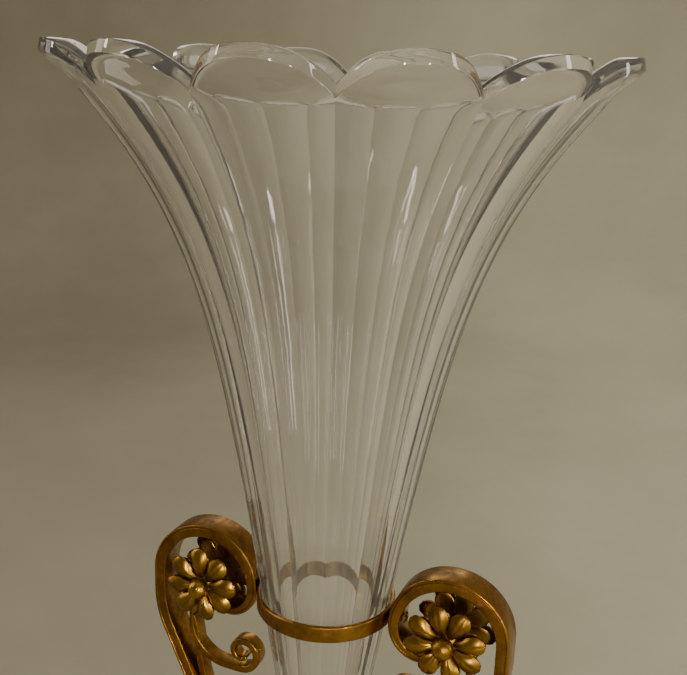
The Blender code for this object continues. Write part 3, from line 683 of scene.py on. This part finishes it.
def sweep(shape, stations, thickness, width, line=True):
    """A flat bar along stations with rounded ends."""
    lengths = [0.0]
    for a, b in zip(stations, stations[1:]):
        lengths.append(lengths[-1] + math.hypot(b[0] - a[0], b[1] - a[1]))
    cuts = [(x, z, angle, thickness(along / lengths[-1]), 1.0)
            for (x, z, angle), along in zip(stations, lengths)]
    for end, way in ((0, -1), (-1, 1)):
        x, z, angle, thick, _ = cuts[end]
        rounds = []
        for turn in END_TURNS:
            out = thick / 2 * math.sin(math.radians(turn)) * way
            rounds.append((x + out * math.cos(angle), z + out * math.sin(angle), angle, thick,
                           math.cos(math.radians(turn))))
        cuts = rounds[::-1] + cuts if end == 0 else cuts + rounds
    rings = []
    for x, z, angle, thick, shrink in cuts:
        side = Vector((-math.sin(angle), 0, math.cos(angle)))
        section = strap_section(width / 2 - EDGE_ROUND * (1 - shrink), thick / 2, line)
        rings.append([shape.verts.new(Vector((x, 0, z)) + side * v * shrink + Vector((0, u, 0)))
                      for u, v in section])
    skin(shape, rings)
    shape.faces.new(rings[0])
    shape.faces.new(rings[-1])


RING_LOW, RING_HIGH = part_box("collar_ring")
RING_MID_Z = (RING_LOW.z + RING_HIGH.z) / 2
SCROLL_MID_Z = RING_MID_Z - SCROLL_BELOW_RING
SCROLL_MID_X = RING_HIGH.x + GAP + SCROLL_RADIUS
BASE_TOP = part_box("base_plate")[1].z
STRAP_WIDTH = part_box("scroll_bracket_right")[1].y * 2


def bracket_stations():
    """A bracket's middle line from the scroll's eye to the toe, and its shoulder's lower end."""
    bend = SCROLL_RADIUS - STRAP_THICK / 2
    crown = (SCROLL_MID_X, SCROLL_MID_Z + bend)
    inward = follow(crown, 180, [(90, bend, bend), (EYE_TURN, EYE_RADIUS, EYE_CURL)])
    shoulder = follow(crown, 0, [(-90, bend, bend), (SCROLL_DROP,),
                                 (-STRAP_LEAN, SHOULDER_RADIUS, SHOULDER_RADIUS)])
    lean = math.radians(STRAP_LEAN)
    ankle_z = BASE_TOP + GAP + STRAP_THICK / 2 + ANKLE_RADIUS * (1 + math.sin(lean))
    run = (shoulder[-1][1] - ankle_z) / math.cos(lean)
    below = follow(shoulder[-1][:2], -90 - STRAP_LEAN,
                   [(run,), (90 + STRAP_LEAN, ANKLE_RADIUS, ANKLE_RADIUS), (TOE_LENGTH,),
                    (TOE_TURN, TOE_CURL, TOE_CURL_END)])
    back = [(x, z, angle - math.pi) for x, z, angle in reversed(inward)]
    return back + shoulder[1:] + below[1:], shoulder[-1]


def turn_to(shape, side):
    """Turns a shape made on the right to its own side."""
    if side == "left":
        bmesh.ops.rotate(shape, verts=shape.verts, cent=(0, 0, 0),
                         matrix=Matrix.Rotation(math.pi, 3, "Z"))


def make_bracket(side, gilt):
    shape = bmesh.new()
    stations, _ = bracket_stations()
    sweep(shape, stations, taper(STRAP_TIP, STRAP_THICK, *STRAP_ENDS), STRAP_WIDTH)
    turn_to(shape, side)
    piece(f"scroll_strap_{side}", shape, gilt, f"scroll_bracket_{side}")


def root_stations():
    """The branch's root: leaves its bend and lies down along the bracket below."""
    lean = math.radians(STRAP_LEAN)
    _, shoulder = bracket_stations()
    start = (SCROLL_MID_X + BRANCH_OUT - ROOT_IN, SCROLL_MID_Z - BRANCH_TOP - ROOT_DOWN)
    strap_side = STRAP_THICK / 2 + GAP + BRANCH_THICK / 2
    root = (shoulder[0] - ROOT_DROP * math.tan(lean) - strap_side / math.cos(lean),
            shoulder[1] - ROOT_DROP)
    line = []
    for i in range(ROOT_STEPS + 1):
        t = i / ROOT_STEPS
        ease = smooth_share(t, 0, ROOT_MEETS)
        z = start[1] + (root[1] - start[1]) * t
        x = start[0] - (start[1] - z) * math.tan(lean) * ROOT_SLANT
        line.append((x + (root[0] + (z - root[1]) * math.tan(lean) - x) * ease, z))
    stations = []
    for i, (x, z) in enumerate(line):
        a, b = line[max(i - 1, 0)], line[min(i + 1, ROOT_STEPS)]
        stations.append((x, z, math.atan2(b[1] - a[1], b[0] - a[0])))
    return stations


def make_branch(side, gilt):
    shape = bmesh.new()
    start = (SCROLL_MID_X + BRANCH_OUT, SCROLL_MID_Z - BRANCH_TOP)
    curl = follow(start, -90, [(BRANCH_DROP,), (-BRANCH_TURN, BRANCH_BEND, BRANCH_BEND),
                               (BRANCH_RUN,), (-CURL_TURN, CURL_RADIUS, CURL_END_RADIUS)])
    sweep(shape, curl, taper(BRANCH_TIP, BRANCH_THICK, *BRANCH_ENDS), BRANCH_WIDTH, line=False)
    sweep(shape, root_stations(), taper(ROOT_TIP, BRANCH_THICK, *ROOT_ENDS), ROOT_WIDTH,
          line=False)
    turn_to(shape, side)
    piece(f"curled_branch_{side}", shape, gilt, f"inner_curl_{side}")


# ---------------------------------------------------------------- flowers

def jitter(*keys):
    """A fixed value from -1 to 1 for a set of numbers."""
    seed = sum(key * weight for key, weight in zip(keys, JITTER_WEIGHTS))
    return 2 * ((math.sin(seed) * JITTER_SPREAD) % 1) - 1


def facing(low, high, front):
    """Matrix from a flower's own axes (Z out of its face) to its place on the bracket."""
    seat = high.y if front else low.y
    way = 1 if front else -1
    place = Matrix(((way, 0, 0), (0, 0, 1), (0, -way, 0))).transposed().to_4x4()
    place.translation = Vector(((low.x + high.x) / 2, seat, (low.z + high.z) / 2))
    return place


def petal_point(s, t, length, width, lift):
    """A point of a petal's upper face; s runs root to tip, t from edge to edge."""
    if s > PETAL_WIDEST:
        outline = math.sqrt(max(0, 1 - ((s - PETAL_WIDEST) / (1 - PETAL_WIDEST)) ** 2))
    else:
        outline = PETAL_NECK + (1 - PETAL_NECK) * smooth_share(s, 0.0, PETAL_WIDEST)
    half = width * outline
    crown = math.sin(math.pi * min(s * PETAL_CROWN_REACH, 1)) ** PETAL_CROWN_ROUND
    crown = PETAL_CROWN * (1 - t ** 2) * crown
    crease = PETAL_CREASE * math.exp(-(t / PETAL_CREASE_WIDTH) ** 2)
    crease = crease * math.sin(math.pi * s) ** PETAL_CREASE_ROUND
    arch_start, arch_length = PETAL_ARCH_SPAN
    arch = PETAL_ARCH * math.sin(math.pi * (arch_start + arch_length * s)) + lift * s
    return Vector((PETAL_ROOT + (length - PETAL_ROOT) * s, half * t,
                   PETAL_SHEET + arch + crown - crease))


def lobed_plate(shape, turn_by):
    """The smooth back of a flower: a thin dished plate whose edge follows the petals."""
    rounding = [PLATE_THICK * 0.5 * (1 - math.sqrt(max(0, 1 - share ** PLATE_EDGE)))
                for share in PLATE_SHARES]
    sections = []
    for k in range(PETALS * STEPS_PER_LOBE):
        angle = math.tau * k / (PETALS * STEPS_PER_LOBE)
        lobe = abs(math.cos(PETALS * angle / 2)) ** PLATE_LOBE
        edge = PLATE_TIP * (PLATE_WAIST + (1 - PLATE_WAIST) * lobe)
        ray = Vector((math.cos(angle + turn_by), math.sin(angle + turn_by), 0))
        lower = [ray * (edge * share) + Vector((0, 0, trim + PLATE_DISH * share ** 2))
                 for share, trim in zip(PLATE_SHARES, rounding)]
        upper = [ray * (edge * share) + Vector((0, 0, PLATE_THICK - trim + PLATE_DISH * share ** 2))
                 for share, trim in zip(PLATE_SHARES[:-1], rounding)]
        sections.append([shape.verts.new(point) for point in lower + upper[::-1]])
    skin(shape, sections + [sections[0]])


def add_petal(shape, degrees, length, width, lift):
    """One petal: its upper and under faces, closed along its edges and at both ends."""
    turn = Matrix.Rotation(math.radians(degrees), 4, "Z")
    along, across = PETAL_STEPS
    tops, unders = [], []
    for i in range(along + 1):
        row = [petal_point(i / along, 2 * j / across - 1, length, width, lift)
               for j in range(across + 1)]
        tops.append([shape.verts.new(turn @ point) for point in row])
        unders.append([shape.verts.new(turn @ Vector((point.x, point.y * PETAL_UNDER,
                                                      point.z - PETAL_SHEET))) for point in row])
    skin(shape, tops, around=False)
    skin(shape, unders, around=False)
    for top, next_top, under, next_under in zip(tops, tops[1:], unders, unders[1:]):
        for j in (0, -1):
            shape.faces.new((top[j], next_top[j], next_under[j], under[j]))
    for top, under in ((tops[0], unders[0]), (tops[-1], unders[-1])):
        for j in range(across):
            shape.faces.new((top[j], top[j + 1], under[j + 1], under[j]))


def make_flower(side, face, gilt):
    """A rosette: eight petals, each a little different, on a lobed plate and a hub."""
    node = f"flower_{side}_{face}"
    low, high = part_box(node)
    shape = bmesh.new()
    side_seed = 3 if side == "left" else 7
    face_seed = 1 if face == "front" else 5
    for k in range(PETALS):
        length = PETAL_TIP * (1 + PETAL_LENGTH_VARIES * jitter(k, side_seed, face_seed))
        width = PETAL_HALF_WIDTH * (1 + PETAL_WIDTH_VARIES * jitter(side_seed, k, face_seed))
        lift = PETAL_LIFT_VARIES * jitter(face_seed, k, side_seed)
        degrees = PETAL_TURN[side] + 360 / PETALS * k + PETAL_TURN_VARIES * jitter(k, 2, side_seed)
        add_petal(shape, degrees, length, width, lift)
    lobed_plate(shape, math.radians(PETAL_TURN[side]))
    skin(shape, spun(shape, [(radius * MM, height * MM) for radius, height in HUB], HUB_SIDES))
    bmesh.ops.remove_doubles(shape, verts=shape.verts, dist=MERGE)
    bmesh.ops.dissolve_degenerate(shape, edges=shape.edges, dist=SLIVER)
    shape.transform(facing(low, high, face == "front"))
    piece(f"petals_{side}_{face}", shape, gilt, node, sharp=48)


def make_button(side, face, gilt):
    """The flower's round middle, punched all over with small dots."""
    node = f"flower_button_{side}_{face}"
    low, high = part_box(node)
    dots = []
    for k in range(BUTTON_DOTS):
        height = 1 - DOTS_REACH * (k + 0.5) / BUTTON_DOTS
        reach = math.sqrt(1 - height ** 2)
        turn = k * math.pi * (3 - math.sqrt(5))
        dots.append(Vector((reach * math.cos(turn), reach * math.sin(turn), height)))
    shape = bmesh.new()
    down, around = BUTTON_STEPS
    rings = []
    for i in range(1, down + 1):
        polar = math.radians(BUTTON_WRAP * i / down)
        ring = []
        for k in range(around):
            turn = math.tau * k / around
            way = Vector((math.sin(polar) * math.cos(turn), math.sin(polar) * math.sin(turn),
                          math.cos(polar)))
            near = min((way - dot).length for dot in dots) * BUTTON_RADIUS / DOT_RADIUS
            radius = BUTTON_RADIUS - DOT_DEPTH * math.exp(-near ** 2 * DOT_EDGE)
            ring.append(shape.verts.new((way.x * radius, way.y * radius,
                                         way.z * radius * BUTTON_HEIGHT / BUTTON_RADIUS)))
        rings.append(ring)
    skin(shape, rings)
    shape.faces.new(rings[0])
    shape.faces.new(rings[-1])
    bmesh.ops.translate(shape, verts=shape.verts, vec=(0, 0, BUTTON_SEAT))
    shape.transform(facing(low, high, face == "front"))
    piece(f"punched_button_{side}_{face}", shape, gilt, node, sharp=60)


# ---------------------------------------------------------------- bead ring

def bead_swell(phase):
    """Thickness of the bead ring at a phase, as a share of its full thickness."""
    if phase < LONG_BEAD_END:
        return LONG_BEAD_WAIST + LONG_BEAD_SWELL * math.sqrt(1 - (phase / LONG_BEAD_HALF) ** 2)
    off = (phase - SMALL_BEAD_MIDDLE) / SMALL_BEAD_HALF
    return SMALL_BEAD_WAIST + SMALL_BEAD_SWELL * math.sqrt(max(0, 1 - off ** 2))


def make_beads(gilt):
    """Long beads with a pair of small ones between them, lying on the base's step."""
    low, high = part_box("bead_ring")
    radius = (high.z - low.z) / 2
    middle = Vector((high.x - radius, (high.z + low.z) / 2))
    rings = []
    shape = bmesh.new()
    for i in range(BEADS * BEAD_STEPS):
        angle = math.tau * i / (BEADS * BEAD_STEPS)
        swell = bead_swell(abs(2 * ((i / BEAD_STEPS + 0.5) % 1) - 1))
        ring = []
        for k in range(BEAD_SIDES):
            turn = math.tau * k / BEAD_SIDES
            out = middle.x + radius * swell * math.cos(turn)
            z = middle.y + radius * swell * math.sin(turn) - radius * (1 - swell) * BEAD_SINK
            ring.append(shape.verts.new((out * math.cos(angle), out * math.sin(angle), z)))
        rings.append(ring)
    skin(shape, rings + [rings[0]])
    piece("bead_and_reel", shape, gilt, "bead_ring", sharp=50)


# ---------------------------------------------------------------- stage, lights, camera

def stage_mesh(name, shape, material):
    mesh = bpy.data.meshes.new(name)
    shape.to_mesh(mesh)
    shape.free()
    mesh.shade_smooth()
    mesh.materials.append(material)
    made = bpy.data.objects.new(name, mesh)
    bpy.context.scene.collection.objects.link(made)


def make_room():
    """A pale floor that sweeps up into a round wall, with shade painted into its colour on the side
    away from the light and lower down.
    """
    look = Shading("pale_floor_with_painted_shade")
    cloud = look.noise(1.6, 4.0, 0.5)
    fine = look.noise(14, 5.0, 0.6)
    tone = look.math("ADD", look.math("MULTIPLY", cloud, 0.8), look.math("MULTIPLY", fine, 0.2))
    mottle = look.span(tone, 0.3, 0.7)
    shaded = look.mix(mottle, ROOM_SHADED_DARK, ROOM_SHADED_PALE)
    lit = look.mix(mottle, ROOM_DARK, ROOM_PALE)
    # painted shade: the colour runs from the lit pair to the darker shaded pair, away from the
    # light and towards the floor
    aside = look.across((math.cos(CAMERA_ROUND), math.sin(CAMERA_ROUND), ROOM_SHADE_TILT))
    toward_light = look.span(aside, -ROOM_SHADE_HALF, ROOM_SHADE_HALF)
    look.link(look.mix(toward_light, shaded, lit), "Base Color")
    look.socket("Roughness", 0.85)
    look.socket("Specular IOR Level", 0.2)
    shape = bmesh.new()
    bend_start = WALL_RADIUS - FLOOR_SWEEP
    outline = [(FLOOR_MIDDLE, 0), (FLOOR_FLAT, 0), (bend_start, 0)]
    for degrees in range(SWEEP_STEP, 90 + SWEEP_STEP, SWEEP_STEP):
        outline.append((bend_start + FLOOR_SWEEP * math.sin(math.radians(degrees)),
                        FLOOR_SWEEP - FLOOR_SWEEP * math.cos(math.radians(degrees))))
    outline.append((WALL_RADIUS, WALL_HEIGHT))
    skin(shape, spun(shape, outline, WALL_SIDES), around=False)
    bmesh.ops.remove_doubles(shape, verts=shape.verts, dist=FLOOR_MERGE)
    bmesh.ops.recalc_face_normals(shape, faces=shape.faces)
    stage_mesh("floor_and_wall", shape, look.material)


def softbox(name, place, aim, size, power, colour):
    """A rectangular lamp, of a (width, height) and a power in watts."""
    light = bpy.data.lights.new(name, "AREA")
    light.shape = "RECTANGLE"
    light.size, light.size_y = size
    light.energy = power
    light.color = colour
    made = bpy.data.objects.new(name, light)
    made.location = place
    made.rotation_mode = "QUATERNION"
    made.rotation_quaternion = (Vector(aim) - Vector(place)).to_track_quat("-Z", "Y")
    made.visible_camera = False
    bpy.context.scene.collection.objects.link(made)
    return made


def make_lights():
    overhead = softbox("overhead", (0.35, 0.35, 1.75), aim=(0.1, 0.2, 0.1), size=(1.4, 1.4),
                       power=11.5, colour=(1, 0.95, 0.81))
    overhead.visible_transmission = False
    overhead.visible_glossy = False
    softbox("window_right", (1.20, 0.15, 0.62), aim=(0, 0, 0.30), size=(0.16, 1.0),
            power=5.0, colour=(1, 0.97, 0.92))
    softbox("key_left", (-1.00, -0.50, 0.95), aim=(0, 0, 0.2), size=(0.10, 0.6),
            power=3.6, colour=(1, 0.93, 0.80))
    softbox("lamp_behind_camera", (0.44, -1.10, 0.34), aim=(0, 0, 0.26), size=(0.045, 0.42),
            power=6.5, colour=(1, 0.97, 0.90))
    softbox("lamp_right", (0.92, -0.72, 0.35), aim=(0, 0, 0.26), size=(0.035, 0.42),
            power=3.5, colour=(1, 0.97, 0.90))
    softbox("panel_left", (-1.10, -0.30, 0.45), aim=(0, 0, 0.28), size=(0.30, 0.80),
            power=1.9, colour=(1, 0.92, 0.78))
    strip = softbox("strip_behind", (-0.48, 1.21, 0.86), aim=(0, 0, 0.4), size=(1.0, 0.3),
                    power=1.7, colour=(1, 0.97, 0.93))
    strip.visible_transmission = False
    world = bpy.data.worlds.new("dim_room")
    world.use_nodes = True
    world.node_tree.nodes["Background"].inputs["Color"].default_value = GLOW_COLOUR
    world.node_tree.nodes["Background"].inputs["Strength"].default_value = GLOW_STRENGTH
    bpy.context.scene.world = world


def make_camera():
    """Looks from the photograph's side and height, with its slight roll."""
    lens = bpy.data.cameras.new("camera")
    lens.sensor_width = CAMERA_SENSOR
    lens.lens = CAMERA_LENS
    lens.clip_start = CAMERA_NEAR
    made = bpy.data.objects.new("camera", lens)
    bpy.context.scene.collection.objects.link(made)
    ahead = Vector((math.sin(CAMERA_ASIDE) * math.cos(CAMERA_DOWN),
                    math.cos(CAMERA_ASIDE) * math.cos(CAMERA_DOWN), -math.sin(CAMERA_DOWN)))
    right = Vector((math.cos(CAMERA_ASIDE), -math.sin(CAMERA_ASIDE), 0))
    up = right.cross(ahead)
    rolled = right * math.cos(CAMERA_ROLL) + up * math.sin(CAMERA_ROLL)
    upright = up * math.cos(CAMERA_ROLL) - right * math.sin(CAMERA_ROLL)
    matrix = Matrix((rolled, upright, -ahead)).transposed().to_4x4()
    matrix.translation = Vector((0, -CAMERA_DISTANCE, CAMERA_HEIGHT))
    made.matrix_world = Matrix.Rotation(CAMERA_ROUND, 4, "Z") @ matrix
    bpy.context.scene.camera = made


# ---------------------------------------------------------------- assembly

make_camera()
make_room()
make_lights()
make_crystal()

strap_gilt = gilt_material("aged_gilt_strap", STRAP_GOLD, STRAP_PATINA)
flower_gilt = gilt_material("aged_gilt_flower", FLOWER_GOLD, FLOWER_PATINA)
turned_gilt = gilt_material("aged_gilt_turned", TURNED_GOLD, TURNED_PATINA)
brass = brass_material()
felt = felt_material()

for side in ("left", "right"):
    make_bracket(side, strap_gilt)
    make_branch(side, strap_gilt)
    for face in ("front", "back"):
        make_flower(side, face, flower_gilt)
        make_button(side, face, flower_gilt)
make_beads(turned_gilt)

spin("collar_ring", strap_gilt, COLLAR_ANGLE, edge=0.3 * MM, sides=168)
spin("socket_cup", turned_gilt, sides=140)
spin("stem", turned_gilt)
spin("base_plate", turned_gilt, BASE_ANGLE, edge=0.6 * MM, sides=210)
for number in range(1, 5):
    foot_low, foot_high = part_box(f"foot_{number}")
    centre = ((foot_low.x + foot_high.x) / 2, (foot_low.y + foot_high.y) / 2)
    spin(f"foot_{number}", turned_gilt, edge=0.3 * MM, sides=48, middle=centre)

carried = {"gilt_bronze": turned_gilt, "plain_brass": brass, "felt": felt}
for row in frame["record"]["subparts"]:
    cad_node = frame["nodes"][row["node"]]
    if row["material_slot"] in carried:
        cad_node.data.materials.clear()
        cad_node.data.materials.append(carried[row["material_slot"]])
